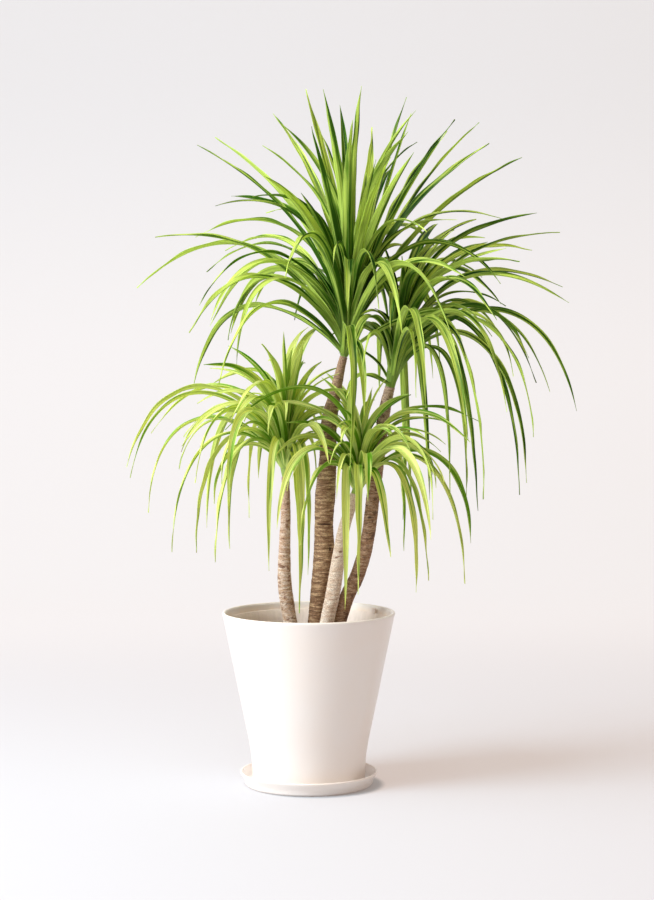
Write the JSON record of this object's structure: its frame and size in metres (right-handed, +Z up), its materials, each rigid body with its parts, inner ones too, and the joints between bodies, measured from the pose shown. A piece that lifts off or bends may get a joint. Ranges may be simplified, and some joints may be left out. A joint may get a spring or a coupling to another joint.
{
  "type": "potted dracaena",
  "caption": "Tall potted dracaena with leafy heads of strap leaves on bare ringed canes, in a tapered white planter that stands on a saucer.",
  "frame": {"origin": "middle of the saucer's flat underside, on the planter's axis", "axes": "+Z up along the planter's axis, the front view looks along +Y, +X to the right"},
  "size_m": [0.7097, 0.6438, 1.095],
  "materials": {
    "glaze": "satin",
    "liner_plastic": "matte",
    "potting_mix": "rough",
    "bark": "rough",
    "pale_bark": "rough",
    "leaf_green": "satin",
    "leaf_lime": "satin"
  },
  "bodies": {
    "root": {"saucer": "glaze", "pot": "glaze", "nursery_pot": "liner_plastic", "soil": "potting_mix", "cane_a": "bark", "cane_b": "bark", "cane_c": "pale_bark", "cane_d": "pale_bark", "crown_a": "leaf_green", "crown_b": "leaf_green", "crown_c": "leaf_lime", "crown_d": "leaf_lime"}
  },
  "joints": []
}
